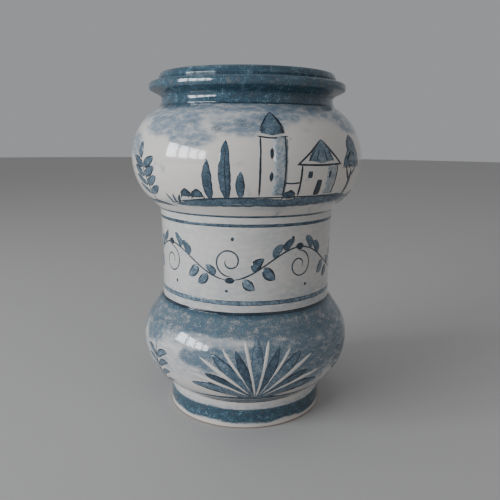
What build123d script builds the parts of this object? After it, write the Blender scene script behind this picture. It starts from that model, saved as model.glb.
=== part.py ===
"""Two-bellied drug jar of tin-glazed earthenware, built as turned clay sections under glaze coats.

Frame: millimetres, +Z up, origin at the centre of the foot's resting face, front towards -Y.
"""
import os

from build123d import *

# ---- Driving dimensions (mm) ------------------------------------------------
# Heights of the turned sections, from the foot upwards
foot_wall_height = 14.2
cove_height = 4.0
lower_bulb_height = 52.4
waist_height = 52.6
upper_bulb_height = 58.4
neck_height = 5.6
ring_height = 8.4
lip_height = 4.4

# Outside radii of the glazed jar
foot_radius = 46.8
cove_flare = 2.0          # how far the cove opens from the foot to the lower belly
lower_belly_radius = 63.3
lower_flank_radius = 58.4
lower_seam_radius = 51.5
waist_radius = 51.1
upper_seam_radius = 52.2
upper_flank_radius = 60.2
upper_belly_radius = 68.0
neck_radius = 50.6
ring_overhang = 6.8       # how far each part of the rim stands out from the neck
groove_overhang = 0.8
lip_overhang = 1.3

# Where each section is widest or narrowest, measured up from the bottom of the section
lower_belly_rise = 26.8
lower_flank_rise = 42.2   # from here up to the seam the lower belly's side is straight
waist_narrow_rise = 21.0
upper_flank_rise = 7.8    # up to here from the seam the upper belly's side is straight
upper_belly_rise = 29.3

# Foot, floor and mouth
foot_ring_width = 8.4
foot_well_depth = 5.0
foot_edge_radius = 0.5
foot_flare_height = 3.6
foot_flare = 0.6          # how much wider the foot's wall is at the bottom than under the cove
floor_thickness = 6.0
floor_inset = 13.8        # how far the inside floor stops short of the foot's outside
floor_corner_radius = 12.0
mouth_edge_radius = 2.4

# Wall and coats
wall = 5.6
glaze = 0.5
glaze_line = 0.8          # the outer glaze stops this far above the resting face
well_corner_radius = 3.0

# Roundings of the moulded rim
ring_nose_radius = 2.0
ring_tuck_radius = 2.2
ring_underside = 3.2      # how far the ring's underside rises from neck to nose
ring_slope = 1.3          # how far the ring's top falls from groove to nose
bead_size = 0.5           # the small step where the shoulder meets the neck
bead_corner_radius = 0.8
groove_depth = 0.8
groove_corner_radius = 0.3
lip_lean = 1.6            # how far the lip's outside leans in from groove to crown
lip_edge_radius = 1.8
lip_seam_inset = 0.5      # from the mouth's rounded edge to where two coats meet on the crown

# ---- Heights that follow ----------------------------------------------------
cove_top = foot_wall_height + cove_height
lower_bulb_top = cove_top + lower_bulb_height
waist_top = lower_bulb_top + waist_height
shoulder_top = waist_top + upper_bulb_height
ring_bottom = shoulder_top + neck_height
ring_top = ring_bottom + ring_height
jar_height = ring_top + lip_height
floor_top = foot_well_depth + floor_thickness
base_top = floor_top - glaze

# ---- Radii that follow ------------------------------------------------------
cove_radius = foot_radius + cove_flare
foot_well_radius = foot_radius - foot_ring_width
floor_radius = foot_radius - floor_inset
mouth_radius = neck_radius - wall
ring_radius = neck_radius + ring_overhang
groove_radius = neck_radius + groove_overhang
lip_radius = neck_radius + lip_overhang
lip_seam_radius = mouth_radius + mouth_edge_radius + lip_seam_inset
ring_seat_radius = neck_radius - glaze

# Outlines run past the axis, the resting face and the mouth, and are trimmed to the jar
overrun = 10.0
beyond = 2 * max(lower_belly_radius, upper_belly_radius)


# ---- Curves shared by the outside and the inside ----------------------------
def bellies(inset, foot_end, mouth_end):
    """The two bellies and the waist between them, drawn a wall's thickness further in if asked."""
    lower_widest = (lower_belly_radius - inset, cove_top + lower_belly_rise)
    lower_flank = (lower_flank_radius - inset, cove_top + lower_flank_rise)
    lower_seam = (lower_seam_radius - inset, lower_bulb_top)
    waist_narrow = (waist_radius - inset, lower_bulb_top + waist_narrow_rise)
    upper_seam = (upper_seam_radius - inset, waist_top)
    upper_flank = (upper_flank_radius - inset, waist_top + upper_flank_rise)
    upper_widest = (upper_belly_radius - inset, waist_top + upper_belly_rise)
    TangentArc(lower_widest, foot_end, tangent=(0, -1))
    TangentArc(lower_widest, lower_flank, tangent=(0, 1))
    Line(lower_flank, lower_seam)
    ThreePointArc(lower_seam, waist_narrow, upper_seam)
    Line(upper_seam, upper_flank)
    TangentArc(upper_widest, upper_flank, tangent=(0, -1))
    TangentArc(upper_widest, mouth_end, tangent=(0, 1))


# ---- Outline of the glazed jar, filled in -----------------------------------
with BuildSketch() as outline:
    with BuildLine():
        FilletPolyline(
            (-overrun, foot_well_depth),
            (foot_well_radius, foot_well_depth),
            (foot_well_radius, -overrun),
            radius=well_corner_radius,
        )
        Polyline(
            (foot_well_radius, -overrun),
            (foot_radius + foot_flare, -overrun),
            (foot_radius + foot_flare, foot_flare_height),
            (foot_radius, foot_wall_height),
        )
        TangentArc((foot_radius, foot_wall_height), (cove_radius, cove_top), tangent=(0, 1))
        bellies(
            0,
            foot_end=(cove_radius, cove_top),
            mouth_end=(neck_radius + bead_size, shoulder_top),
        )
        FilletPolyline(
            (neck_radius + bead_size, shoulder_top),
            (neck_radius + bead_size, shoulder_top + bead_size),
            (neck_radius, shoulder_top + 3 * bead_size),
            (neck_radius, ring_bottom),
            (ring_radius, ring_bottom + ring_underside),
            (ring_radius, ring_top - ring_slope),
            (groove_radius, ring_top),
            (lip_radius, ring_top + groove_depth),
            (lip_radius - lip_lean, jar_height),
            (-overrun, jar_height),
            radius=[
                bead_corner_radius,
                bead_corner_radius,
                ring_tuck_radius,
                ring_nose_radius,
                ring_nose_radius,
                groove_corner_radius,
                bead_corner_radius,
                lip_edge_radius,
            ],
        )
        Line((-overrun, jar_height), (-overrun, foot_well_depth))
    make_face()

# ---- The hollow, open upwards through the mouth -----------------------------
with BuildSketch() as hollow:
    with BuildLine():
        floor_turn = (cove_radius, cove_top + wall)
        bellies(wall, foot_end=floor_turn, mouth_end=(mouth_radius, shoulder_top))
        FilletPolyline(
            floor_turn,
            (floor_radius, floor_top),
            (-overrun, floor_top),
            radius=floor_corner_radius,
        )
        Line((mouth_radius, shoulder_top), (mouth_radius, jar_height - mouth_edge_radius))
        TangentArc(
            (mouth_radius, jar_height - mouth_edge_radius),
            (mouth_radius + mouth_edge_radius, jar_height),
            tangent=(0, 1),
        )
        Polyline(
            (mouth_radius + mouth_edge_radius, jar_height),
            (beyond, jar_height),
            (beyond, jar_height + overrun),
            (-overrun, jar_height + overrun),
            (-overrun, floor_top),
        )
    make_face()

# ---- The same outlines at the clay under the glaze --------------------------
with BuildSketch() as glazed_hollow:
    add(hollow.sketch_local)
    offset(amount=glaze)

with BuildSketch() as clay_section:
    add(outline.sketch_local)
    offset(amount=-glaze)
    add(glazed_hollow.sketch_local, mode=Mode.SUBTRACT)

# Glaze on the inside runs up over the lip as far as the middle of its crown
with BuildSketch() as inner_side:
    add(hollow.sketch_local)
    offset(amount=1.5 * glaze)
    with Locations((lip_seam_radius + beyond / 2, jar_height)):
        Rectangle(beyond, 2 * lip_height, mode=Mode.SUBTRACT)

with BuildSketch() as inner_glaze_section:
    add(outline.sketch_local)
    add(hollow.sketch_local, mode=Mode.SUBTRACT)
    add(clay_section.sketch_local, mode=Mode.SUBTRACT)
    add(inner_side.sketch_local, mode=Mode.INTERSECT)

with BuildSketch() as outer_glaze_section:
    add(outline.sketch_local)
    add(hollow.sketch_local, mode=Mode.SUBTRACT)
    add(clay_section.sketch_local, mode=Mode.SUBTRACT)
    add(inner_side.sketch_local, mode=Mode.SUBTRACT)


def keep(section, low, high, inner=0.0, outer=beyond):
    """Put a section in the sketch and trim it between two heights and two radii."""
    add(section.sketch_local)
    with Locations(((inner + outer) / 2, (low + high) / 2)):
        Rectangle(outer - inner, high - low, mode=Mode.INTERSECT)


# ---- Clay sections, as turned and luted together ----------------------------
with BuildPart() as foot_ring:
    with BuildSketch(Plane.XZ):
        keep(clay_section, 0, base_top, inner=foot_well_radius)
    revolve(axis=Axis.Z)
    fillet(foot_ring.edges().group_by(Axis.Z)[0], foot_edge_radius)
foot_ring.part.label = "foot_ring"

with BuildPart() as floor_disc:
    with BuildSketch(Plane.XZ):
        keep(clay_section, 0, base_top, outer=foot_well_radius)
    revolve(axis=Axis.Z)
floor_disc.part.label = "floor_disc"

with BuildPart() as lower_bulb:
    with BuildSketch(Plane.XZ):
        keep(clay_section, base_top, lower_bulb_top)
    revolve(axis=Axis.Z)
lower_bulb.part.label = "lower_bulb"

with BuildPart() as waist_sleeve:
    with BuildSketch(Plane.XZ):
        keep(clay_section, lower_bulb_top, waist_top)
    revolve(axis=Axis.Z)
waist_sleeve.part.label = "waist_sleeve"

with BuildPart() as upper_bulb:
    with BuildSketch(Plane.XZ):
        keep(clay_section, waist_top, shoulder_top)
    revolve(axis=Axis.Z)
upper_bulb.part.label = "upper_bulb"

# The ring is a coil of clay pressed on round the collar
with BuildPart() as rim_ring:
    with BuildSketch(Plane.XZ):
        keep(clay_section, ring_bottom - ring_tuck_radius, ring_top, inner=ring_seat_radius)
    revolve(axis=Axis.Z)
rim_ring.part.label = "rim_ring"

with BuildPart() as neck_collar:
    with BuildSketch(Plane.XZ):
        keep(clay_section, shoulder_top, jar_height)
        with Locations((ring_seat_radius, ring_bottom - ring_tuck_radius)):
            Rectangle(
                beyond,
                ring_height + ring_tuck_radius,
                align=(Align.MIN, Align.MIN),
                mode=Mode.SUBTRACT,
            )
    revolve(axis=Axis.Z)
neck_collar.part.label = "neck_collar"

# ---- Glaze coats ------------------------------------------------------------
with BuildPart() as foot_well_glaze:
    with BuildSketch(Plane.XZ):
        keep(outer_glaze_section, glaze_line, foot_well_depth + glaze, outer=foot_well_radius + glaze)
    revolve(axis=Axis.Z)
foot_well_glaze.part.label = "foot_well_glaze"

with BuildPart() as foot_glaze:
    with BuildSketch(Plane.XZ):
        keep(outer_glaze_section, glaze_line, cove_top, inner=foot_well_radius + glaze)
    revolve(axis=Axis.Z)
foot_glaze.part.label = "foot_glaze"

with BuildPart() as lower_bulb_glaze:
    with BuildSketch(Plane.XZ):
        keep(outer_glaze_section, cove_top, lower_bulb_top)
    revolve(axis=Axis.Z)
lower_bulb_glaze.part.label = "lower_bulb_glaze"

with BuildPart() as waist_glaze:
    with BuildSketch(Plane.XZ):
        keep(outer_glaze_section, lower_bulb_top, waist_top)
    revolve(axis=Axis.Z)
waist_glaze.part.label = "waist_glaze"

with BuildPart() as upper_bulb_glaze:
    with BuildSketch(Plane.XZ):
        keep(outer_glaze_section, waist_top, shoulder_top)
    revolve(axis=Axis.Z)
upper_bulb_glaze.part.label = "upper_bulb_glaze"

with BuildPart() as rim_glaze:
    with BuildSketch(Plane.XZ):
        keep(outer_glaze_section, shoulder_top, jar_height)
    revolve(axis=Axis.Z)
rim_glaze.part.label = "rim_glaze"

with BuildPart() as inside_glaze:
    with BuildSketch(Plane.XZ):
        keep(inner_glaze_section, 0, jar_height)
    revolve(axis=Axis.Z)
inside_glaze.part.label = "inside_glaze"

# ---- One file for each piece ------------------------------------------------
clay_pieces = [foot_ring, floor_disc, lower_bulb, waist_sleeve, upper_bulb, neck_collar, rim_ring]
glaze_pieces = [
    foot_well_glaze,
    foot_glaze,
    lower_bulb_glaze,
    waist_glaze,
    upper_bulb_glaze,
    rim_glaze,
    inside_glaze,
]

os.makedirs("parts", exist_ok=True)
for piece in clay_pieces + glaze_pieces:
    export_step(piece.part, f"parts/{piece.part.label}.step")
    print(f"{piece.part.label:18s} {piece.part.volume / 1000:8.2f} cm3")
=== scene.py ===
# %% [markdown]
# # A painted drug jar
# The real jar is one thrown earthenware body under a white tin glaze, painted with blue metal oxide
# before the glaze is fired. It could be made by sculpting and image textures. This lesson turns each
# coat on its axis like a potter, and paints every leaf and line as a thin stroke of real geometry.
# The CAD model is a fixed frame: it says where every coat begins and ends.

# %% Load the frame
import bisect
import math

import bmesh
import bpy
from mathutils import Matrix, Vector, noise


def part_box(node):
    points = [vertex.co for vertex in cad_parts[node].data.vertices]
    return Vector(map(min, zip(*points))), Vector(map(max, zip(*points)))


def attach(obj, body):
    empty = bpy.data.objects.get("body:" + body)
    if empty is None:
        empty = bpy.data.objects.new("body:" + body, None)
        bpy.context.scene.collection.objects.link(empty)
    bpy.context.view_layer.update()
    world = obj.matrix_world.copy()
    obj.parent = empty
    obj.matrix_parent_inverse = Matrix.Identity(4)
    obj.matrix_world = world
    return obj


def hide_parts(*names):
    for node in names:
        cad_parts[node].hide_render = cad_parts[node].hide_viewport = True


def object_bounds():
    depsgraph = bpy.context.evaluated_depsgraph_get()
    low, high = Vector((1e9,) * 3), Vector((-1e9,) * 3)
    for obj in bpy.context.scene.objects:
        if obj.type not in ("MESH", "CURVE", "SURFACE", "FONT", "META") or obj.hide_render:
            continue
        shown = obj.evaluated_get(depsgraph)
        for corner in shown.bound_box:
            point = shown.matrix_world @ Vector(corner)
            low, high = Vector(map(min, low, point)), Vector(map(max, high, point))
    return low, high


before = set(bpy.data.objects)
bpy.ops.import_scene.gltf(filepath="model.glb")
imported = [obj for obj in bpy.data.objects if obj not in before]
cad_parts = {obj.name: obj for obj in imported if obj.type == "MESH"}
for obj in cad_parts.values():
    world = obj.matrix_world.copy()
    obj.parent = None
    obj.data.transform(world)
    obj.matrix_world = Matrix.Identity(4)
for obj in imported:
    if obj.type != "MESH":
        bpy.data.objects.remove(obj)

MM = 0.001
cad_bounds = [list(corner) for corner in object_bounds()]
print("CAD box, m:", cad_bounds)
print("CAD nodes:", ", ".join(sorted(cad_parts)))

# %% [markdown]
# ## The camera
# The jar was looked at from a little below its rim, quite close, by a hand-held camera that leaned a
# trace to one side. A close camera matters: it makes the lower belly look smaller than it is. The
# camera could be tracked to the jar by a constraint, but fixed numbers give the same view each run.

# %% Camera
JAR_HEIGHT = cad_bounds[1][2] - cad_bounds[0][2]
camera_distance = 1.683 * JAR_HEIGHT
camera_height = 0.825 * JAR_HEIGHT
camera_pitch = math.radians(11.71)
camera_roll = math.radians(0.56)
camera_yaw = math.radians(-0.42)

lens_mm, sensor_mm, nearest_seen = 39.6, 36.0, 0.01

camera_data = bpy.data.cameras.new("camera")
camera_data.lens = lens_mm
camera_data.sensor_width = sensor_mm
camera_data.clip_start = nearest_seen
camera = bpy.data.objects.new("camera", camera_data)
bpy.context.collection.objects.link(camera)
camera.matrix_world = (
    Matrix.Translation((0.0, -camera_distance, camera_height))
    @ Matrix.Rotation(camera_yaw, 4, "Z")
    @ Matrix.Rotation(math.radians(90) - camera_pitch, 4, "X")
    @ Matrix.Rotation(camera_roll, 4, "Z")
)
bpy.context.scene.camera = camera
print("camera stands", round(camera_distance, 3), "m from the jar's axis")

# %% [markdown]
# ## Floor and light
# The floor is plain and pale. The light is soft and comes from the left, from a bank of four upright
# panels, because glaze shows what lights it: the four panes appear as small bright boxes on each
# belly. One big panel would be simpler, but it hides how sharp the gloss is.

# %% Floor and light
floor_reach, floor_colour, floor_roughness = 4.0, (0.50, 0.485, 0.47, 1), 0.75
sky_colour, sky_strength = (0.80, 0.82, 0.85, 1), 0.40

floor_mesh = bpy.data.meshes.new("floor")
bm = bmesh.new()
bmesh.ops.create_circle(bm, cap_ends=True, segments=96, radius=floor_reach)
bm.to_mesh(floor_mesh)
bm.free()
floor = bpy.data.objects.new("floor", floor_mesh)
bpy.context.collection.objects.link(floor)
floor_paint = bpy.data.materials.new("pale floor")
floor_paint.use_nodes = True
floor_shader = floor_paint.node_tree.nodes["Principled BSDF"]
floor_shader.inputs["Base Color"].default_value = floor_colour
floor_shader.inputs["Roughness"].default_value = floor_roughness
floor_mesh.materials.append(floor_paint)

world = bpy.data.worlds.new("studio")
world.use_nodes = True
world.node_tree.nodes["Background"].inputs["Color"].default_value = sky_colour
world.node_tree.nodes["Background"].inputs["Strength"].default_value = sky_strength
bpy.context.scene.world = world
print("floor", 2 * floor_reach, "m across, sky at", sky_strength)


# %% The lights
def panel(name, place, aim, width, height, watts, tint):
    """A soft rectangular light at a place, facing a point."""
    light = bpy.data.lights.new(name, "AREA")
    light.shape = "RECTANGLE"
    light.size = width
    light.size_y = height
    light.energy = watts
    light.color = tint
    lamp = bpy.data.objects.new(name, light)
    bpy.context.collection.objects.link(lamp)
    facing = (Vector(aim) - Vector(place)).to_track_quat("-Z", "Y")
    lamp.matrix_world = Matrix.Translation(place) @ facing.to_matrix().to_4x4()


window_x, window_z, nearest_pane, pane_pitch = -1.1, 0.40, -0.32, 0.30
pane_width, pane_height, pane_watts, daylight = 0.245, 0.38, 5.4, (0.90, 0.95, 1.0)
for number in range(4):
    place = (window_x, nearest_pane - number * pane_pitch, window_z)
    panel(f"pane_{number + 1}", place, (0, place[1], window_z), pane_width, pane_height, pane_watts, daylight)
jar_middle = (0.0, 0.0, JAR_HEIGHT / 2)
panel("fill", (1.3, -1.0, 1.0), jar_middle, 1.2, 1.2, 0.6, (1.0, 0.90, 0.80))
panel("top", (-0.4, 0.1, 1.6), jar_middle, 1.5, 1.5, 2.2, (0.97, 0.98, 1.0))
print("four panes, a fill and a top light")

# %% [markdown]
# ## The profile
# Everything on a turned pot follows from one profile: its radius at each height. The heights where
# coats meet and the widest radii are read from the CAD nodes, so the looks cannot drift from the
# frame. Between them the curve is a handful of arcs. An arc that starts upright at a belly's widest
# line needs only its end point, and the moulded rim is straight runs with rounded corners.

# %% Measures from the frame, in millimetres
def top_of(node):
    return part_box(node)[1][2] / MM


def reach_of(node):
    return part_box(node)[1][0] / MM


cove_top = top_of("foot_glaze")
lower_seam = top_of("lower_bulb_glaze")
upper_seam = top_of("waist_glaze")
shoulder = top_of("upper_bulb_glaze")
crown = top_of("rim_glaze")
glaze_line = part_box("foot_glaze")[0][2] / MM
cove_radius = reach_of("foot_glaze")
lower_belly = reach_of("lower_bulb_glaze")
upper_belly = reach_of("upper_bulb_glaze")
upper_seam_radius = reach_of("waist_glaze")
ring_radius = reach_of("rim_glaze")
glaze, wall = 0.5, 5.6
well_radius = reach_of("foot_well_glaze") - glaze
well_top = top_of("foot_well_glaze") - glaze
floor_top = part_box("inside_glaze")[0][2] / MM + glaze
print("coats meet at", [round(z, 1) for z in (glaze_line, cove_top, lower_seam, upper_seam, shoulder, crown)])


# %% Arcs and rounded corners
def upright_arc(start, end, step=1.0):
    """Points of an arc that leaves start upright and ends at end, both (radius, height)."""
    inward, rise = start[0] - end[0], end[1] - start[1]
    radius = (inward**2 + rise**2) / (2 * inward)
    centre = start[0] - radius
    sweep = math.acos((end[0] - centre) / radius)
    count = max(3, int(abs(radius) * sweep / step))
    turn = [sweep * i / count for i in range(count + 1)]
    upward = math.copysign(radius, rise)
    return [(centre + radius * math.cos(t), start[1] + upward * math.sin(t)) for t in turn]


def straight(start, end, step=1.0):
    count = max(1, int(math.dist(start, end) / step))
    return [tuple(a + (b - a) * i / count for a, b in zip(start, end)) for i in range(count + 1)]


def rounded(points, radii, step=0.35):
    """A run of straight lines whose inner corners are rounded, one radius for each corner."""
    path = [Vector(points[0])]
    for before, corner, after, radius in zip(points, points[1:], points[2:], radii):
        corner = Vector(corner)
        back = (Vector(before) - corner).normalized()
        ahead = (Vector(after) - corner).normalized()
        half = back.angle(ahead) / 2
        setback = radius / math.tan(half)
        centre = corner + (back + ahead).normalized() * radius / math.sin(half)
        start, end = corner + back * setback - centre, corner + ahead * setback - centre
        turn = start.angle_signed(end)
        count = max(2, int(radius * abs(turn) / step))
        for i in range(count + 1):
            path.append(centre + Matrix.Rotation(-turn * i / count, 2) @ start)
    path.append(Vector(points[-1]))
    even = []
    for a, b in zip(path, path[1:]):
        even += straight(tuple(a), tuple(b), 1.0)[:-1]
    return even + [tuple(path[-1])]


def join(*runs):
    """One run of points from several that meet end to end."""
    whole = []
    for run in runs:
        for point in run:
            if not whole or math.dist(point, whole[-1]) > 1e-4:
                whole.append(point)
    return whole


print("a straight 10 mm run has", len(straight((0, 0), (0, 10))), "points")

# %% The outside, from the foot up to the lip, coat by coat
foot_radius, foot_flare, foot_flare_top, foot_wall_top = 46.8, 0.6, 3.6, 14.2
lower_seam_radius, waist_radius, neck_radius, groove_radius, lip_radius = 51.5, 51.1, 50.6, 51.4, 51.9
bead, ring_bottom, ring_top = 0.5, shoulder + 5.6, crown - 4.4
ring_under, ring_over, groove_height, lip_round, crown_radius = 3.2, 1.3, 0.8, 1.6, 47.9
neck_hollow, lip_swell = -0.38, 0.15

lower_widest = (lower_belly, cove_top + 26.8)
lower_flank = (58.4, cove_top + 42.2)
upper_flank = (60.2, upper_seam + 7.8)
upper_widest = (upper_belly, upper_seam + 29.3)


def waist_curve(inset=0.0):
    """The waist draws in a little between its seams: a shallow curve through three heights."""
    low, narrow, high = lower_seam, lower_seam + 21.0, upper_seam
    path = []
    for i in range(54):
        z = low + (high - low) * i / 53
        share_low = (z - narrow) * (z - high) / ((low - narrow) * (low - high))
        share_narrow = (z - low) * (z - high) / ((narrow - low) * (narrow - high))
        share_high = (z - low) * (z - narrow) / ((high - low) * (high - narrow))
        radius = share_low * lower_seam_radius + share_narrow * waist_radius + share_high * upper_seam_radius
        path.append((radius - inset, z))
    return path


foot_curve = join(
    straight((foot_radius + foot_flare, glaze_line), (foot_radius + foot_flare, foot_flare_top)),
    straight((foot_radius + foot_flare, foot_flare_top), (foot_radius, foot_wall_top)),
    upright_arc((foot_radius, foot_wall_top), (cove_radius, cove_top), 0.5),
)
lower_curve = join(
    upright_arc(lower_widest, (cove_radius, cove_top))[::-1],
    upright_arc(lower_widest, lower_flank),
    straight(lower_flank, (lower_seam_radius, lower_seam)),
)
upper_curve = join(
    straight((upper_seam_radius, upper_seam), upper_flank),
    upright_arc(upper_widest, upper_flank)[::-1],
    upright_arc(upper_widest, (neck_radius + bead, shoulder)),
)
rim_curve = rounded(
    [
        (neck_radius + bead, shoulder),
        (neck_radius + bead, shoulder + bead),
        (neck_radius, shoulder + 3 * bead),
        (neck_radius, ring_bottom),
        (ring_radius, ring_bottom + ring_under),
        (ring_radius, ring_top - ring_over),
        (groove_radius, ring_top),
        (lip_radius, ring_top + groove_height),
        (lip_radius - lip_round, crown),
        (crown_radius, crown),
    ],
    [0.8, 0.8, 2.2, 2.0, 2.0, 0.3, 0.8, 1.8],
)


def swell(path, low, high, amount):
    """Ease a straight stretch out (or in) by up to an amount, halfway between two heights."""
    return [(radius + amount * math.sin(math.pi * (z - low) / (high - low)) if low < z < high else radius, z)
            for radius, z in path]


rim_curve = swell(rim_curve, shoulder + 3 * bead, ring_bottom, neck_hollow)
rim_curve = swell(rim_curve, ring_top + groove_height, crown, lip_swell)
outside = join(foot_curve, lower_curve, waist_curve(), upper_curve, rim_curve)
print(len(outside), "points from foot to lip, widest", round(max(r for r, z in outside), 1), "mm")

# %% [markdown]
# ## Places on the jar
# A painter works on the surface, so every brush stroke is placed by an angle round the jar and a
# distance along the profile, in millimetres. This table turns the two into a point in space and the
# direction the surface faces there. A shrinkwrap modifier could lay strokes down too, but the
# profile gives the exact place.

# %% Places on the jar
along = [0.0]
for a, b in zip(outside, outside[1:]):
    along.append(along[-1] + math.dist(a, b))


def profile_at(s):
    """Radius, height and outward direction at a distance along the profile."""
    i = min(max(bisect.bisect_right(along, s) - 1, 0), len(outside) - 2)
    a, b = outside[i], outside[i + 1]
    share = (s - along[i]) / (along[i + 1] - along[i])
    radius, height = a[0] + (b[0] - a[0]) * share, a[1] + (b[1] - a[1]) * share
    before, after = outside[max(i - 1, 0)], outside[min(i + 2, len(outside) - 1)]
    lean = Vector((after[1] - before[1], before[0] - after[0])).normalized()
    return radius, height, lean


def along_at(height):
    """Distance along the profile where it first reaches a height."""
    for i, (a, b) in enumerate(zip(outside, outside[1:])):
        if a[1] <= height <= b[1] and b[1] > a[1]:
            return along[i] + (along[i + 1] - along[i]) * (height - a[1]) / (b[1] - a[1])
    return along[-1]


def on_jar(degrees, s, lift=0.0):
    """A point on the jar in metres: 0 degrees is the front, positive to the right."""
    radius, height, lean = profile_at(s)
    turn = math.radians(degrees)
    out, up = radius + lean.x * lift, height + lean.y * lift
    return Vector((out * math.sin(turn), -out * math.cos(turn), up)) * MM


print("profile is", round(along[-1], 1), "mm long; halfway point", on_jar(0, along[-1] / 2))

# %% [markdown]
# ## Glaze and pigment
# One recipe makes every coat: a warm white tin glaze, a thin blue wash, and a dense blue put on with
# a sponge, which leaves pale flecks. Each vertex of a coat carries an attribute named paint that says
# how much wash, sponge and warmth is there, and the nodes turn it into colour with noise of a few
# sizes. Painting an image would fix the detail to one size, and noise stays sharp from close by.

# %% Node helpers
WHITE_WARM, WHITE_COOL = (0.70, 0.64, 0.585, 1), (0.68, 0.655, 0.62, 1)


def add_node(tree, kind, **settings):
    node = tree.nodes.new(kind)
    for name, value in settings.items():
        setattr(node, name, value)
    return node


def noise_of_size(tree, size_mm, detail=2.0, stretch=None):
    """Noise with features of about a size, in the object's own coordinates."""
    place = add_node(tree, "ShaderNodeTexCoord").outputs["Object"]
    if stretch:
        mapping = add_node(tree, "ShaderNodeMapping")
        mapping.inputs["Scale"].default_value = stretch
        tree.links.new(place, mapping.inputs["Vector"])
        place = mapping.outputs["Vector"]
    texture = add_node(tree, "ShaderNodeTexNoise")
    texture.inputs["Scale"].default_value = 1 / (size_mm * MM)
    texture.inputs["Detail"].default_value = detail
    tree.links.new(place, texture.inputs["Vector"])
    return texture.outputs["Fac"]


def math_node(tree, operation, a, b=None, clamp=False):
    node = add_node(tree, "ShaderNodeMath", operation=operation, use_clamp=clamp)
    for socket, value in zip(node.inputs, (a, b)):
        if isinstance(value, (int, float)):
            socket.default_value = value
        elif value is not None:
            tree.links.new(value, socket)
    return node.outputs[0]


def soft_step(tree, value, low, high):
    node = add_node(tree, "ShaderNodeMapRange", interpolation_type="SMOOTHSTEP")
    tree.links.new(value, node.inputs["Value"])
    node.inputs["From Min"].default_value = low
    node.inputs["From Max"].default_value = high
    return node.outputs["Result"]


def colour_ramp(tree, value, stops):
    node = add_node(tree, "ShaderNodeValToRGB")
    ramp = node.color_ramp
    while len(ramp.elements) < len(stops):
        ramp.elements.new(0.5)
    for element, (position, colour) in zip(ramp.elements, stops):
        element.position = position
        element.color = (*colour, 1)
    tree.links.new(value, node.inputs["Fac"])
    return node.outputs["Color"]


def mix_colour(tree, amount, a, b):
    node = add_node(tree, "ShaderNodeMix", data_type="RGBA")
    for socket, value in zip((node.inputs[0], node.inputs[6], node.inputs[7]), (amount, a, b)):
        if isinstance(value, (int, float, tuple)):
            socket.default_value = value
        else:
            tree.links.new(value, socket)
    return node.outputs[2]


def channels(tree, attribute):
    source = add_node(tree, "ShaderNodeAttribute", attribute_name=attribute)
    split = add_node(tree, "ShaderNodeSeparateColor")
    tree.links.new(source.outputs["Color"], split.inputs["Color"])
    return split.outputs["Red"], split.outputs["Green"], split.outputs["Blue"]


def glassy(tree, colour, bump_parts, roughness=0.10):
    """Finish a material as fired glaze: glossy, with a clear coat and a faintly uneven surface."""
    shader = tree.nodes["Principled BSDF"]
    tree.links.new(colour, shader.inputs["Base Color"])
    shader.inputs["Roughness"].default_value = roughness
    shader.inputs["IOR"].default_value = 1.5
    shader.inputs["Coat Weight"].default_value = 0.35
    shader.inputs["Coat Roughness"].default_value = 0.03
    previous = None
    for height, depth_mm in bump_parts:
        bump = add_node(tree, "ShaderNodeBump")
        bump.inputs["Strength"].default_value = 1.0
        bump.inputs["Distance"].default_value = depth_mm * MM
        tree.links.new(height, bump.inputs["Height"])
        if previous:
            tree.links.new(previous, bump.inputs["Normal"])
        previous = bump.outputs["Normal"]
    tree.links.new(previous, shader.inputs["Normal"])


def new_material(name):
    material = bpy.data.materials.new(name)
    material.use_nodes = True
    return material, material.node_tree


print("white glaze runs from", WHITE_WARM[:3], "to", WHITE_COOL[:3])

# %% Painted tin glaze
def painted_glaze(name):
    material, tree = new_material(name)
    wash, sponge, warm = channels(tree, "paint")
    fleck, blotch = noise_of_size(tree, 0.55, 2.0), noise_of_size(tree, 3.6, 3.0)
    cloud, brushed = noise_of_size(tree, 16.0), noise_of_size(tree, 5.0, 4.0, (1.0, 1.0, 2.6))

    white = mix_colour(tree, cloud, WHITE_WARM, WHITE_COOL)
    white = mix_colour(tree, math_node(tree, "MULTIPLY", warm, 0.6), white, (0.62, 0.44, 0.30, 1))
    thin = math_node(tree, "MULTIPLY", wash, soft_step(tree, brushed, 0.14, 0.64), clamp=True)
    wash_tint = colour_ramp(tree, blotch, [(0.25, (0.115, 0.175, 0.25)), (0.5, (0.20, 0.265, 0.335)),
                                           (0.75, (0.34, 0.395, 0.445))])
    colour = mix_colour(tree, thin, white, wash_tint)
    specks = math_node(tree, "MULTIPLY", soft_step(tree, fleck, 0.62, 0.74), wash, clamp=True)
    colour = mix_colour(tree, math_node(tree, "MULTIPLY", specks, 0.5), colour, (0.10, 0.13, 0.15, 1))

    grain = math_node(tree, "ADD", math_node(tree, "MULTIPLY", fleck, 0.55),
                      math_node(tree, "MULTIPLY", blotch, 0.45))
    dense_tint = colour_ramp(tree, grain, [
        (0.37, (0.012, 0.031, 0.048)),
        (0.48, (0.023, 0.062, 0.094)),
        (0.57, (0.052, 0.115, 0.160)),
        (0.67, (0.22, 0.31, 0.37)),
    ])
    ragged = math_node(tree, "ADD", sponge, math_node(tree, "MULTIPLY",
                       math_node(tree, "SUBTRACT", grain, 0.5), 2.4))
    dense = math_node(tree, "MULTIPLY", soft_step(tree, ragged, 0.08, 0.86),
                      soft_step(tree, sponge, 0.02, 0.12))
    colour = mix_colour(tree, dense, colour, dense_tint)
    glassy(tree, colour, [(noise_of_size(tree, 22.0, 1.0), 0.25), (noise_of_size(tree, 1.4, 1.0), 0.012)])
    return material


glaze_paint = painted_glaze("painted tin glaze")
print(glaze_paint.name, "has", len(glaze_paint.node_tree.nodes), "nodes")

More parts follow.
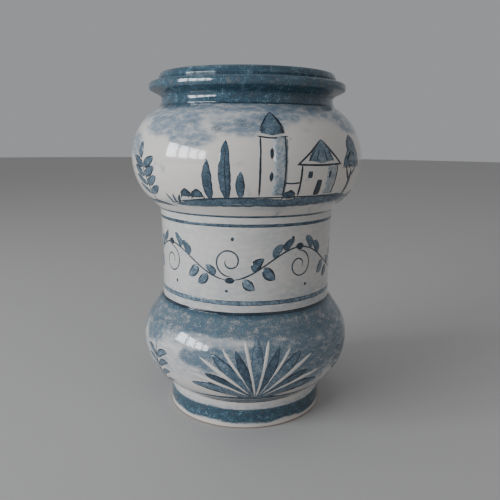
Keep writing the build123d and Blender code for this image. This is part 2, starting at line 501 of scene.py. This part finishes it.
# %% Brushed blue
def brushed_blue(name):
    """Strokes: watery in the middle, darker where the paint pooled along the edge."""
    material, tree = new_material(name)
    tone, edge = channels(tree, "paint")[:2]
    fleck, blotch = noise_of_size(tree, 1.1, 3.0), noise_of_size(tree, 4.5, 2.0)
    pooled = math_node(tree, "MULTIPLY", soft_step(tree, edge, 0.60, 0.96), 0.62)
    pooled = math_node(tree, "MULTIPLY", pooled, soft_step(tree, tone, 0.12, 0.26))
    fine = math_node(tree, "MULTIPLY", math_node(tree, "SUBTRACT", fleck, 0.5), 0.75)
    broad = math_node(tree, "MULTIPLY", math_node(tree, "SUBTRACT", blotch, 0.5), 0.55)
    uneven = math_node(tree, "ADD", fine, broad)
    density = math_node(tree, "ADD", math_node(tree, "ADD", tone, pooled), uneven, clamp=True)
    colour = colour_ramp(tree, density, [
        (0.00, (0.46, 0.465, 0.46)),
        (0.22, (0.21, 0.275, 0.33)),
        (0.45, (0.080, 0.130, 0.178)),
        (0.70, (0.026, 0.052, 0.078)),
        (1.00, (0.008, 0.017, 0.027)),
    ])
    glassy(tree, colour, [(noise_of_size(tree, 22.0, 1.0), 0.25), (fleck, 0.012)])
    return material


stroke_paint = brushed_blue("brushed blue")
print(stroke_paint.name, "has", len(stroke_paint.node_tree.nodes), "nodes")

# %% White left bare
def bare_white(name):
    """Stems the painter scratched or left free of blue."""
    material, tree = new_material(name)
    cloud, fleck = noise_of_size(tree, 6.0), noise_of_size(tree, 1.1, 3.0)
    colour = mix_colour(tree, cloud, WHITE_WARM, WHITE_COOL)
    smear = math_node(tree, "MULTIPLY", soft_step(tree, fleck, 0.5, 0.8), 0.5)
    colour = mix_colour(tree, smear, colour, (0.33, 0.40, 0.44, 1))
    glassy(tree, colour, [(noise_of_size(tree, 22.0, 1.0), 0.25), (fleck, 0.012)])
    return material


scraped_white = bare_white("scraped white")
print(scraped_white.name, "has", len(scraped_white.node_tree.nodes), "nodes")

# %% Bare biscuit
def bare_biscuit():
    material, tree = new_material("bare biscuit")
    grain, patch = noise_of_size(tree, 0.35, 4.0), noise_of_size(tree, 9.0)
    colour = colour_ramp(tree, grain, [(0.30, (0.20, 0.095, 0.055)), (0.52, (0.36, 0.19, 0.115)),
                                       (0.75, (0.50, 0.31, 0.20))])
    colour = mix_colour(tree, math_node(tree, "MULTIPLY", patch, 0.45), colour, (0.28, 0.16, 0.11, 1))
    shader = tree.nodes["Principled BSDF"]
    tree.links.new(colour, shader.inputs["Base Color"])
    shader.inputs["Roughness"].default_value = 0.85
    bump = add_node(tree, "ShaderNodeBump")
    bump.inputs["Distance"].default_value = 0.05 * MM
    tree.links.new(grain, bump.inputs["Height"])
    tree.links.new(bump.outputs["Normal"], shader.inputs["Normal"])
    return material


clay_nodes = ("foot_ring", "floor_disc", "lower_bulb", "waist_sleeve", "upper_bulb", "neck_collar",
              "rim_ring")
biscuit = bare_biscuit()
for node in clay_nodes:
    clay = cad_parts[node]
    clay.data.materials.clear()
    clay.data.materials.append(biscuit)
print(biscuit.name, "is on", len(clay_nodes), "clay pieces")

# %% [markdown]
# ## Coats of glaze
# Each coat is half a millimetre of glass over the clay, as wide as its zone of painting. A sheet with
# a solidify modifier would do, but a spun outline with its own inner side gives a closed coat whose
# edges meet the next coat exactly, so no seam shows. Before a coat is spun it has no colour: the
# wash and the sponge are then dabbed onto its vertices, by angle and height.

# %% Spin a coat
COAT_DEPTH, CREASE = 0.45, math.radians(50)


def clay_side(path, depth):
    """The same run of points set into the surface, a little short of the clay, and three times coarser."""
    hidden = []
    last = len(path) - 1
    for i in sorted({*range(0, last, 3), last}):
        a, b = path[max(i - 1, 0)], path[min(i + 1, last)]
        lean = Vector((b[1] - a[1], a[0] - b[0])).normalized()
        hidden.append((max(path[i][0] - lean.x * depth, 0.0), path[i][1] - lean.y * depth))
    return hidden


def coat(name, node, path, paint_at, steps=360, depth=COAT_DEPTH):
    """Spin a run of outside points and its clay side into a closed coat that stands for a CAD node."""
    hidden = clay_side(path, depth)
    bm = bmesh.new()
    ring = [bm.verts.new((0, -radius * MM, height * MM)) for radius, height in path + hidden[::-1]]
    chain = [bm.edges.new(pair) for pair in zip(ring, ring[1:])]
    if path[0][0] > 0.01:
        chain.append(bm.edges.new((ring[-1], ring[0])))
    bmesh.ops.spin(bm, geom=ring + chain, cent=(0, 0, 0), axis=(0, 0, 1), angle=math.tau, steps=steps,
                   use_merge=True)
    bmesh.ops.remove_doubles(bm, verts=bm.verts, dist=0.00001)
    bmesh.ops.recalc_face_normals(bm, faces=bm.faces)
    paint = bm.verts.layers.float_color.new("paint")
    for vert in bm.verts:
        degrees = math.degrees(math.atan2(vert.co.x, -vert.co.y))
        wash, sponge, warm = paint_at(degrees, vert.co.z / MM)
        vert[paint] = (wash, sponge, warm, 1.0)
    mesh = bpy.data.meshes.new(name)
    bm.to_mesh(mesh)
    bm.free()
    mesh.shade_smooth()
    mesh.set_sharp_from_angle(angle=CREASE)
    mesh.materials.append(glaze_paint)
    piece = bpy.data.objects.new(name, mesh)
    bpy.context.collection.objects.link(piece)
    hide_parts(node)
    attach(piece, "root")
    print(name, len(mesh.polygons), "faces")


print("each coat is closed", COAT_DEPTH, "mm under its outside")

# %% Dabs, bands and mottling
def ease(x):
    x = min(max(x, 0.0), 1.0)
    return x * x * (3 - 2 * x)


def band(value, low, high, soft):
    """1 between two heights, falling to 0 over a soft edge on each side."""
    return ease((value - low) / soft + 0.5) * ease((high - value) / soft + 0.5)


def round_to(degrees, centre):
    """Degrees from a centre line, the short way round the jar."""
    return (degrees - centre + 180) % 360 - 180


def dab(degrees, z, centre, height, half_width, half_height):
    """1 in the middle of a soft oval dab of the sponge or brush, 0 outside it."""
    return ease(1.3 - math.hypot(round_to(degrees, centre) / half_width, (z - height) / half_height))


MOTTLE_RADIUS = 58


def mottle(degrees, z, size, seed):
    """Soft noise from -1 to 1, the same size all round the jar."""
    turn = math.radians(degrees)
    place = Vector((MOTTLE_RADIUS * math.sin(turn), -MOTTLE_RADIUS * math.cos(turn), z)) / size
    return noise.noise(place + Vector((seed * 7.3, seed * 3.1, seed * 5.7)))


print("a dab is", dab(0, 0, 0, 0, 10, 5), "in its middle and", dab(13, 0, 0, 0, 10, 5), "past its edge")

# %% Where the blue lies on the foot and the lower belly
def paint_foot(degrees, z):
    wobble = mottle(degrees, z, 14, 1) * 0.8
    sponge = 0.95 * band(z + wobble, 3.4, 11.6, 1.2)
    wash = 0.45 * band(z + wobble, 2.8, 14.5, 2.5) + 0.12 * band(z, 15.5, 20.0, 2.0)
    return wash, sponge, 0.5 * ease((2.6 - z) / 1.5)


# Dabs are (degrees, height, half width in degrees, half height).
LOWER_CLOUDS = [(-26, 47, 12, 5), (-9, 46.5, 18, 9), (14, 50, 18, 13), (34, 45, 18, 20), (56, 50, 16, 18),
                (-60, 56, 12, 10), (74, 46, 16, 14), (104, 50, 16, 13), (140, 47, 18, 9), (168, 50, 16, 13),
                (-164, 52, 16, 12), (-134, 46.5, 18, 8), (-108, 52, 18, 12), (-84, 54, 14, 10)]
LOWER_GAPS = [(-28, 56.5, 16, 3.3), (-8, 57.0, 16, 1.9), (130, 57, 16, 3.4), (-146, 57, 20, 3.6)]


def paint_lower(degrees, z):
    wobble = mottle(degrees, z, 16, 2) * 2.0 + mottle(degrees, z, 5, 3) * 1.2
    gap = min(max(dab(degrees, z, *spot) for spot in LOWER_GAPS), 1)
    top = ease((z - 66.5) / 4)
    sponge = (0.60 + 0.36 * top) * band(z + wobble, 56.0, 74.0, 8.0) * (1 - 0.95 * gap)
    cloud = max(dab(degrees, z, *spot) for spot in LOWER_CLOUDS)
    ragged = mottle(degrees, z, 8, 4) * 0.5 + mottle(degrees, z, 3, 12) * 0.3
    cover = ease(cloud * 1.35 + ragged) * (1 - 0.85 * gap)
    sponge = max(sponge, 0.50 * cover * ease((z - 26) / 12))
    misty = 0.76 + 0.30 * mottle(degrees, z, 9, 13)
    wash = max(0.95 * cover, misty * band(z, 52, 74, 7) * (1 - 0.25 * gap), 0.60 * misty * band(z, 33, 50, 8))
    wash += 0.45 * band(z, 17, 22.5, 2.5) + 0.08
    return min(wash, 1.0), sponge, 0.0


print(len(LOWER_CLOUDS), "clouds and", len(LOWER_GAPS), "gaps on the lower belly")


# %% Where the blue lies on the waist and the upper belly
def paint_waist(degrees, z):
    cloudy = 0.5 + 0.5 * mottle(degrees, z, 15, 5)
    wash = (0.13 + 0.29 * cloudy + 0.12 * ease((90 - z) / 14)) * band(z, 76.4, 118.6, 1.2)
    wash += (0.5 * band(z, 118.7, 123.3, 1.6) + 0.8 * band(z, 70.6, 75.4, 1.6)) * (0.3 + 0.4 * cloudy)
    return wash, 0.0, 0.0


CLOUDS = [(-38, 171, 21, 8), (-26, 164, 14, 6), (0, 170, 19, 6), (14, 174, 12, 4.5), (62, 172, 16, 6),
          (88, 167, 14, 5), (112, 171, 18, 6), (150, 168, 17, 6), (178, 173, 18, 6), (-150, 168, 18, 7),
          (-118, 172, 18, 6), (-88, 167, 15, 6), (-66, 160, 12, 8)]
CLOUD_HEARTS = [(9, 173, 6, 3), (-1, 171, 7, 2.4), (-26, 171.5, 5, 2.5), (-14, 168.5, 5, 1.8),
                (-44, 180, 9, 2.5), (150, 170, 8, 3), (-120, 172, 8, 3), (95, 169, 6, 2.5)]
GROUNDS = [(-30, 131, 24, 3.5), (10, 129.5, 24, 3.0), (52, 132, 20, 4.0), (100, 130, 26, 4),
           (150, 131, 26, 4), (-155, 130, 26, 4), (-105, 131, 24, 4), (-72, 130, 16, 3.5)]


def paint_upper(degrees, z):
    ragged = mottle(degrees, z, 7, 6) * 0.5 + mottle(degrees, z, 3.2, 7) * 0.35
    shade = dab(degrees, z, -42, 181, 22, 5) + dab(degrees, z, 140, 181, 24, 5)
    sponge = (0.40 + 0.5 * min(shade, 1)) * band(z + ragged * 1.6, 179.4, 185, 4.5)
    cloud = max(dab(degrees, z, *spot) for spot in CLOUDS)
    wash = 0.95 * ease(cloud * 1.5 + ragged * 0.8 - 0.12)
    ground = max(dab(degrees, z, *spot) for spot in GROUNDS)
    wash += 0.42 * ease(ground * 1.2 + ragged * 0.7 - 0.2) + 0.95 * band(z + ragged * 2, 174, 184, 6)
    dark = max(dab(degrees, z, *spot) for spot in CLOUD_HEARTS)
    return min(wash, 1.0), max(sponge, 0.50 * ease(dark + ragged), 0.22 * ease(cloud + ragged)), 0.0


print(len(CLOUDS), "clouds and", len(GROUNDS), "stretches of ground on the upper belly")


# %% Where the blue lies on the rim, inside and under the foot
def paint_rim(degrees, z):
    patchy = mottle(degrees, z, 9, 8) * 0.10
    # Painted light: the sponge thins on the ring's rounded crest as a painted highlight, and the grooves
    # above and below it stay darker as painted shade.
    crest_highlight = band(z, 189.5, 193.5, 2.0)
    return 0.8, 0.94 + patchy - 0.14 * crest_highlight, 0.0


def paint_inside(degrees, z):
    drip = ease((z - 195.5 - 1.5 * mottle(degrees, 0, 8, 9)) / 3.0)
    return 0.10 + 0.5 * drip, 0.85 * ease((z - 197.2 - mottle(degrees, 0, 5, 10)) / 1.6), 0.0


def paint_well(degrees, z):
    return 0.05, 0.0, 0.25 + 0.5 * ease((2.2 - z) / 1.4)


print("wash, sponge and warmth on the lip:", [round(part, 2) for part in paint_rim(0, crown)])


# %% The five outer coats
def stretch_of(low, high):
    """Outside points from one height up to another; the coats' ends fall on points of the profile."""
    return [point for point in outside if low - 0.001 <= point[1] <= high + 0.001]


coat("glaze_foot", "foot_glaze", stretch_of(glaze_line, cove_top), paint_foot)
coat("glaze_lower_belly", "lower_bulb_glaze", stretch_of(cove_top, lower_seam), paint_lower)
coat("glaze_waist", "waist_glaze", stretch_of(lower_seam, upper_seam), paint_waist)
coat("glaze_upper_belly", "upper_bulb_glaze", stretch_of(upper_seam, shoulder), paint_upper)
coat("glaze_rim", "rim_glaze", rim_curve, paint_rim)

# %% The inside and the foot's well
mouth_radius, mouth_edge, floor_radius, floor_corner = neck_radius - wall, 2.4, 33.0, 12.0
floor_turn = (cove_radius, cove_top + wall)
inner_widest = (lower_belly - wall, lower_widest[1])
inner_flank = (lower_flank[0] - wall, lower_flank[1])
inner_upper_widest = (upper_belly - wall, upper_widest[1])
mouth_edge_curve = [(mouth_radius + mouth_edge * (1 - math.cos(t)), crown - mouth_edge * (1 - math.sin(t)))
                    for t in [math.radians(15 * i) for i in range(7)]]
inside_path = join(
    rounded([(0.0, floor_top), (floor_radius, floor_top), floor_turn], [floor_corner]),
    upright_arc(inner_widest, floor_turn)[::-1],
    upright_arc(inner_widest, inner_flank),
    straight(inner_flank, (lower_seam_radius - wall, lower_seam)),
    waist_curve(wall),
    straight((upper_seam_radius - wall, upper_seam), (upper_flank[0] - wall, upper_flank[1])),
    upright_arc(inner_upper_widest, (upper_flank[0] - wall, upper_flank[1]))[::-1],
    upright_arc(inner_upper_widest, (mouth_radius, shoulder)),
    straight((mouth_radius, shoulder), (mouth_radius, crown - mouth_edge)),
    mouth_edge_curve,
    [(crown_radius, crown)],
)
well_path = rounded([(0.0, well_top), (well_radius, well_top), (well_radius, glaze_line)], [3.0])
coat("glaze_inside", "inside_glaze", inside_path, paint_inside, steps=180, depth=-COAT_DEPTH)
coat("glaze_foot_well", "foot_well_glaze", well_path, paint_well, steps=180)

# %% [markdown]
# ## The brush
# Blue oxide lies on the glaze a little thicker than the wash. Each stroke starts as a small flat grid
# that is bent along a smooth line through a few points, given as degrees round the jar and height in
# millimetres. Its middle stands a hair above the glaze, its edges sink into it, and solidify closes it
# underneath. Curves with a bevel could draw lines, but not leaves whose width swells and pools.

# %% The shapes a brush makes
BRUSH_SHAPES = {
    "line": lambda t: min(1.0, 0.3 + 8 * t, 0.3 + 8 * (1 - t)),
    "ring": lambda t: 1.0,
    "leaf": lambda t: 0.05 + 0.95 * math.sin(math.pi * t**0.85) ** 0.62,
    "dab": lambda t: max(0.05, 1 - abs(2 * t - 1) ** 2.4) ** 0.5,
    "bud": lambda t: 0.05 + 0.95 * min(1.0, (1 - t) / 0.12) ** 0.5 * t**0.9,
    "slab": lambda t: min(1.0, 0.75 + 6 * t, 0.75 + 6 * (1 - t)),
}
SEEN_SHARE = 0.80
ACROSS_LIFTS = {0: 0.07, 1: 0.05, 2: -0.04}
LAYER_LIFT, STROKE_THICKNESS = 0.006, 0.12
print(len(BRUSH_SHAPES), "shapes of stroke; layers step up by", LAYER_LIFT, "mm")


# %% A smooth line on the jar
def smooth_line(points, step=1.1):
    """A Catmull-Rom line through points of (degrees, height), as evenly spaced (degrees, along)."""
    ways = [Vector((degrees, along_at(height))) for degrees, height in points]
    ways = [2 * ways[0] - ways[1]] + ways + [2 * ways[-1] - ways[-2]]
    dense = []
    for a, b, c, d in zip(ways, ways[1:], ways[2:], ways[3:]):
        for i in range(12):
            t = i / 12
            dense.append(0.5 * (2 * b + (c - a) * t + (2 * a - 5 * b + 4 * c - d) * t * t
                                + (3 * b - a - 3 * c + d) * t**3))
    dense.append(ways[-2])
    run = [0.0]
    for a, b in zip(dense, dense[1:]):
        radius = profile_at(a.y)[0]
        run.append(run[-1] + math.hypot(math.radians(b.x - a.x) * radius, b.y - a.y))
    count = max(5, int(run[-1] / step))
    even, place = [], 0
    for i in range(count + 1):
        target = run[-1] * i / count
        while place < len(run) - 2 and run[place + 1] < target:
            place += 1
        share = (target - run[place]) / max(run[place + 1] - run[place], 1e-6)
        even.append(dense[place].lerp(dense[place + 1], share))
    return even


print("a line over 20 degrees of waist has", len(smooth_line([(0, 97), (10, 99), (20, 97)])), "points")


# %% One stroke
def brush(bm, paint, shape, width, tone, points, layer):
    """Bend a grid along a line on the jar; width in mm, tone from 0 watery to 1 full."""
    line = smooth_line(points)
    count = len(line) - 1
    verts = bmesh.ops.create_grid(bm, x_segments=count, y_segments=4, size=0.5)["verts"]
    for vert in verts:
        i, side = round((vert.co.x + 0.5) * count), round(vert.co.y * 4)
        here, back, ahead = line[i], line[max(i - 1, 0)], line[min(i + 1, count)]
        per_degree = math.radians(1) * profile_at(here.y)[0]
        direction = Vector(((ahead.x - back.x) * per_degree, ahead.y - back.y)).normalized()
        shaky = 1 + 0.16 * noise.noise(Vector((here.x * 0.35, here.y * 0.35, tone * 9 + layer)))
        half = max(width / 2 / SEEN_SHARE * BRUSH_SHAPES[shape](i / count) * shaky, 0.05)
        offset = half * side / 2
        degrees, s = here.x - direction.y * offset / per_degree, here.y + direction.x * offset
        vert.co = on_jar(degrees, s, ACROSS_LIFTS[abs(side)] + LAYER_LIFT * (layer % 9))
        vert[paint] = (tone, min(abs(side) / 2 / SEEN_SHARE, 1.0), 0.0, 1.0)


def brushwork(name, strokes, material):
    """A piece made of many strokes, each (shape, width, tone, points)."""
    bm = bmesh.new()
    paint = bm.verts.layers.float_color.new("paint")
    for layer, (shape, width, tone, points) in enumerate(strokes):
        brush(bm, paint, shape, width, tone, points, layer)
    bmesh.ops.remove_doubles(bm, verts=bm.verts, dist=0.000001)
    bmesh.ops.solidify(bm, geom=bm.faces[:], thickness=STROKE_THICKNESS * MM)
    mesh = bpy.data.meshes.new(name)
    bm.to_mesh(mesh)
    bm.free()
    mesh.shade_smooth()
    mesh.materials.append(material)
    piece = bpy.data.objects.new(name, mesh)
    bpy.context.collection.objects.link(piece)
    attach(piece, "root")
    print(name, len(strokes), "strokes,", len(mesh.polygons), "faces")


def turned(strokes, degrees, mirror=False):
    """The same strokes further round the jar, mirrored if asked."""
    sign = -1 if mirror else 1
    return [(shape, width, tone, [(degrees + sign * a, z) for a, z in points])
            for shape, width, tone, points in strokes]


print("a stroke is a grid four faces wide, as long as its line needs")

# %% [markdown]
# ## Lines and the scroll
# The banding lines were drawn while the jar turned on a wheel, so they run level with a slight
# tremble. Between them a leafy scroll goes round the waist. It could be drawn freehand from points,
# but a wave for the stem and a spiral for each tendril need only a few numbers, and four equal units
# close the circle without a gap.

# %% Banding lines
def level(z, width, tone, tremble=0.12):
    points = [(a, z + tremble * mottle(a, z, 18, 11)) for a in range(-180, 181, 6)]
    return ("ring", width, tone, points)


bands = [
    level(upper_seam + 0.4, 1.5, 0.52), level(upper_seam - 4.5, 1.7, 0.56),
    level(lower_seam + 5.6, 2.4, 0.36), level(lower_seam - 0.4, 1.6, 0.90),
    level(cove_top + 1.9, 2.4, 0.62), level(shoulder - 0.3, 1.2, 0.60),
]
brushwork("banding_lines", bands, stroke_paint)

# %% A leafy scroll
SCROLL_UNITS, SCROLL_MIDDLE, SCROLL_RISE = 4, 97.5, 8.6
WAIST_MM_PER_DEGREE = math.radians(1) * profile_at(along_at(SCROLL_MIDDLE))[0]


# Leaves are (share of the way along, side, reach, width, tone).
SCROLL_LEAVES = (
    (0.10, -1, 7, 4.6, 0.36), (0.16, 1, 8, 4.2, 0.52), (0.24, -1, 8, 5.0, 0.44), (0.30, 1, 8, 4.6, 0.38),
    (0.38, 1, 7, 4.4, 0.56), (0.62, 1, 8, 4.6, 0.42), (0.70, 1, 8, 4.8, 0.52), (0.76, -1, 8, 5.0, 0.36),
    (0.84, -1, 7, 4.4, 0.50), (0.90, 1, 6, 3.6, 0.44),
)
CURL_TURNS, CURL_CLOSING = 1.35, 0.76


def curl(degrees, z, radius, start_angle):
    """A tendril that winds in clockwise towards a point."""
    points = []
    for i in range(19):
        share = i / 18
        angle = math.radians(start_angle - 360 * CURL_TURNS * share)
        reach = radius * (1 - CURL_CLOSING * share)
        across = reach * math.cos(angle) / WAIST_MM_PER_DEGREE
        points.append((degrees + across, z + reach * math.sin(angle)))
    return points


def stem_at(start, width, share):
    return start + width * share, SCROLL_MIDDLE - SCROLL_RISE * math.cos(2 * math.pi * share)


def scroll_unit(start, width):
    """One wave of the stem, a tendril in each hollow, and leaves in pairs along it."""
    strokes = [("line", 0.9, 0.74, [stem_at(start, width, i / 16) for i in range(17)])]
    strokes.append(("line", 0.8, 0.70, curl(start + width / 2, SCROLL_MIDDLE - 1.6, 8.4, 96)))
    strokes.append(("line", 0.8, 0.70, curl(start, SCROLL_MIDDLE + 1.6, 8.4, -84)))
    strokes += [("dab", 3.4, 0.80, [(start + width / 2 - 3, 106.4), (start + width / 2 + 3, 106.4)]),
                ("dab", 3.0, 0.80, [(start - 3, 88.7), (start + 3, 88.7)])]
    for share, side, out, size, tone in SCROLL_LEAVES:
        a, z = stem_at(start, width, share)
        lean = 1 if share < 0.5 else -1
        tip = min(max(z + side * out, 80.5), 115.5)
        strokes.append(("leaf", size, tone, [(a, z + side * 0.8), (a + lean * 2.2, z + 0.6 * (tip - z)),
                                             (a + lean * 6.4, tip)]))
    for share, z in ((0.02, 111.5), (0.44, 111.4), (0.56, 84.4), (0.98, 82.8)):
        strokes.append(("dab", 1.7, 0.78, [(start + width * share - 1, z), (start + width * share + 1, z)]))
    return strokes


garland = []
for unit in range(SCROLL_UNITS):
    garland += scroll_unit(-100 + unit * 360 / SCROLL_UNITS, 360 / SCROLL_UNITS)
brushwork("vine_brushwork", garland, stroke_paint)

# %% [markdown]
# ## The landscape on the upper belly
# Such jars carry a quick sketch of a house, a tower, trees and a strip of ground. This one is made up
# from plain shapes and shows no real place. Dark pen-like lines give the buildings, broad watery
# strokes fill them, and leaves are single presses of a pointed brush. The same few motifs, turned and
# mirrored, carry on round the back.

# %% Trees, bushes and grass
cypresses = [
    ("leaf", 7.0, 0.56, [(-9, 134), (-9.4, 147), (-9, 163)]),
    ("leaf", 5.6, 0.60, [(-17, 133.6), (-17.2, 143), (-17, 154)]),
    ("leaf", 4.6, 0.50, [(-2.6, 134.6), (-2.8, 141), (-2.6, 148)]),
    ("line", 0.7, 0.90, [(-9, 136), (-9.2, 148), (-9, 160)]),
]
bushes = [("dab", 4.2, 0.60, [(a, 134.6), (a + 2.6, 136.4), (a + 5.4, 134.8)]) for a in (-32, -26, 17)]
bushes += [("line", 0.7, 0.90, [(a - 1, 133.4), (a + 3, 138.6), (a + 6.4, 133.6)]) for a in (-32, -26, 17)]
grass = [("leaf", 1.6, 0.66, [(a, 129.6), (a + lean, 132.4), (a + 2.4 * lean, 135.4)])
         for a, lean in ((-40, -1), (-38, 0.2), (-36, 1.2), (66, -1), (68, 0.2), (70, 1.2))]
spray = [
    ("line", 0.8, 0.80, [(-56, 129), (-54, 140), (-56, 154)]),
    ("leaf", 4.4, 0.50, [(-56, 153), (-56.6, 157), (-56, 162)]),
]
for z in (134, 139, 144, 149):
    for side in (-1, 1):
        spray.append(("leaf", 4.4, 0.46, [(-55, z), (-55 + 5 * side, z + 2.4), (-55 + 9.5 * side, z + 5)]))
tree = [
    ("leaf", 2.4, 0.78, [(56, 133), (56.4, 141), (56, 149)]),
    ("dab", 10.0, 0.46, [(49, 150), (56, 156), (63, 150)]),
    ("dab", 8.5, 0.52, [(52, 158), (56, 162.6), (60, 158)]),
    ("line", 0.8, 0.90, [(48, 148.6), (52, 159), (56, 166), (61, 158.6), (65, 148.8)]),
    ("leaf", 1.6, 0.80, [(56, 144), (59, 147), (61, 150)]),
    ("leaf", 1.6, 0.80, [(56, 142), (53, 146), (51, 150)]),
]
print("strokes:", len(cypresses), "cypress,", len(bushes), "bush,", len(grass), "grass,", len(spray),
      "spray,", len(tree), "tree")

# %% A house beside a round tower
tower = [
    ("slab", 6.0, 0.14, [(14.4, 164.6), (14.4, 136)]),
    ("bud", 15.0, 0.50, [(11, 176.6), (11, 171), (11, 165.4)]),
    ("line", 0.9, 0.95, [(5.6, 135.6), (5.6, 150), (5.6, 165)]),
    ("line", 0.9, 0.95, [(16.4, 135.6), (16.4, 150), (16.4, 165)]),
    ("line", 0.9, 1.0, [(4.2, 165), (11, 164.2), (17.8, 165)]),
    ("leaf", 2.0, 0.90, [(10.4, 159.6), (10.4, 154)]),
    ("leaf", 2.0, 0.90, [(10.4, 148), (10.4, 143)]),
]
house = [
    ("slab", 7.0, 0.12, [(41, 151), (41, 136)]),
    ("bud", 25.0, 0.30, [(34, 163.4), (34, 157.6), (34, 152)]),
    ("line", 0.9, 1.0, [(21.6, 151), (28, 157.4), (34, 163.6)]),
    ("line", 0.9, 1.0, [(34, 163.6), (40, 157.4), (46.4, 151)]),
    ("line", 0.9, 1.0, [(21.6, 151.4), (34, 151), (46.4, 151.4)]),
    ("line", 0.9, 0.95, [(24, 151), (24, 135.6)]),
    ("line", 0.9, 0.95, [(44, 151), (44, 135.6)]),
    ("slab", 3.8, 0.82, [(34, 135.6), (34, 143.6)]),
    ("slab", 2.6, 0.78, [(28.4, 144.6), (28.4, 148)]),
    ("slab", 2.6, 0.78, [(39.6, 144.6), (39.6, 148)]),
    ("line", 0.8, 0.80, [(16.4, 142.4), (20, 142), (24, 142.4)]),
]
house += [("line", 0.7, 0.70, [(a, 153), (34 + 0.5 * (a - 34), 158.6)]) for a in (27, 31, 37, 41)]
ground = [
    ("leaf", 6.6, 0.50, [(-38, 129.6), (-14, 131.6), (12, 132), (36, 130.6)]),
    ("leaf", 7.4, 0.46, [(8, 130.4), (30, 132.4), (54, 132.6), (74, 130)]),
    ("line", 0.9, 0.88, [(-42, 130.2), (-18, 133.8), (10, 134.8), (40, 134.6), (72, 131.4)]),
    ("leaf", 3.0, 0.62, [(-66, 128.6), (-54, 129.2), (-42, 128)]),
]
front_scene = cypresses + bushes + grass + spray + tree + tower + house + ground
print("the front scene has", len(front_scene), "strokes")

# %% The rest of the way round
back_scene = turned(ground, 126) + turned(house, 108) + turned(cypresses, 116) + turned(bushes, 124)
back_scene += turned(spray, 156) + turned(tree, 122)
back_scene += turned(ground, 238, mirror=True) + turned(tower, 242, mirror=True)
back_scene += turned(house, 246, mirror=True) + turned(tree, 318, mirror=True)
back_scene += turned(bushes, 228) + turned(cypresses, 266)
brushwork("landscape_front", front_scene, stroke_paint)
brushwork("landscape_back", back_scene, stroke_paint)

# %% [markdown]
# ## Leaves on the lower belly
# The lower belly is sponged from above and planted from below with fans of narrow leaves and small
# upright sprouts. White rays part the leaves where the painter scraped the blue away. They could be
# left free in the sponging, but strokes of bare glaze have edges as crisp as the leaves' own.

# %% A fan of leaves
FAN_FOOT, FAN_MIDDLE, DROOP = 21.5, 40, 0.22
FAN_MM_PER_DEGREE = math.radians(1) * profile_at(along_at(FAN_MIDDLE))[0]


def fan_stroke(shape, width, tone, lean, start, length):
    """A stroke that leaves the fan's base at a lean from upright, in degrees, and droops outward."""
    points = []
    for share in (0.0, 0.35, 0.7, 1.0):
        reach = start + (length - start) * share
        drooped = math.radians(lean * (1 + DROOP * share))
        points.append((reach * math.sin(drooped) / FAN_MM_PER_DEGREE, FAN_FOOT + reach * math.cos(drooped)))
    return (shape, width, tone, points)


fan = [fan_stroke("leaf", width, tone, lean, 2, length) for lean, length, width, tone in (
    (0, 38, 8.5, 0.36), (-17, 34, 6.0, 0.62), (17, 35, 6.4, 0.54), (-33, 38, 7.6, 0.44), (33, 39, 8.0, 0.40),
    (-48, 34, 5.4, 0.64), (49, 35, 5.8, 0.60), (-62, 40, 6.2, 0.40), (63, 41, 6.4, 0.46))]
fan += [fan_stroke("line", 0.7, 0.72, lean, 4, length)
        for lean, length in ((0, 34), (-33, 34), (33, 35), (63, 36))]
white_rays = [fan_stroke("line", 1.6, 0.0, lean, 3, 37) for lean in (-25, 25, -8.5, 8.5)]
white_rays += [fan_stroke("leaf", 2.4, 0.0, lean, 6, 42) for lean in (-41, 41, 56, -55)]
print("a fan has", len(fan), "blue strokes and", len(white_rays), "white rays")

# %% Ground and sprouts between the fans
low_ground = [("leaf", 6.4, 0.60, [(-46, 19.8), (-14, 20.8), (14, 20.8), (46, 19.8)]),
              ("leaf", 3.4, 0.58, [(-50, 18.2), (-18, 17.7), (18, 17.7), (50, 18.2)])]
sprouts = [("leaf", 3.4, 0.46, [(60, 22 + z), (60 + 5 * side, 26 + z), (60 + 10 * side, 27 + z)])
           for z in (0, 6, 12, 18) for side in (-1, 1)]
sprouts.append(("line", 0.8, 0.66, [(60, 21), (59.4, 34), (60, 48)]))
clump = fan + low_ground + sprouts
planting, rays = [], []
for degrees in (6, 126, 246):
    rays += turned(white_rays, degrees)
    planting += turned(clump, degrees)
brushwork("white_stems", rays, scraped_white)
brushwork("leaf_brushwork", planting, stroke_paint)
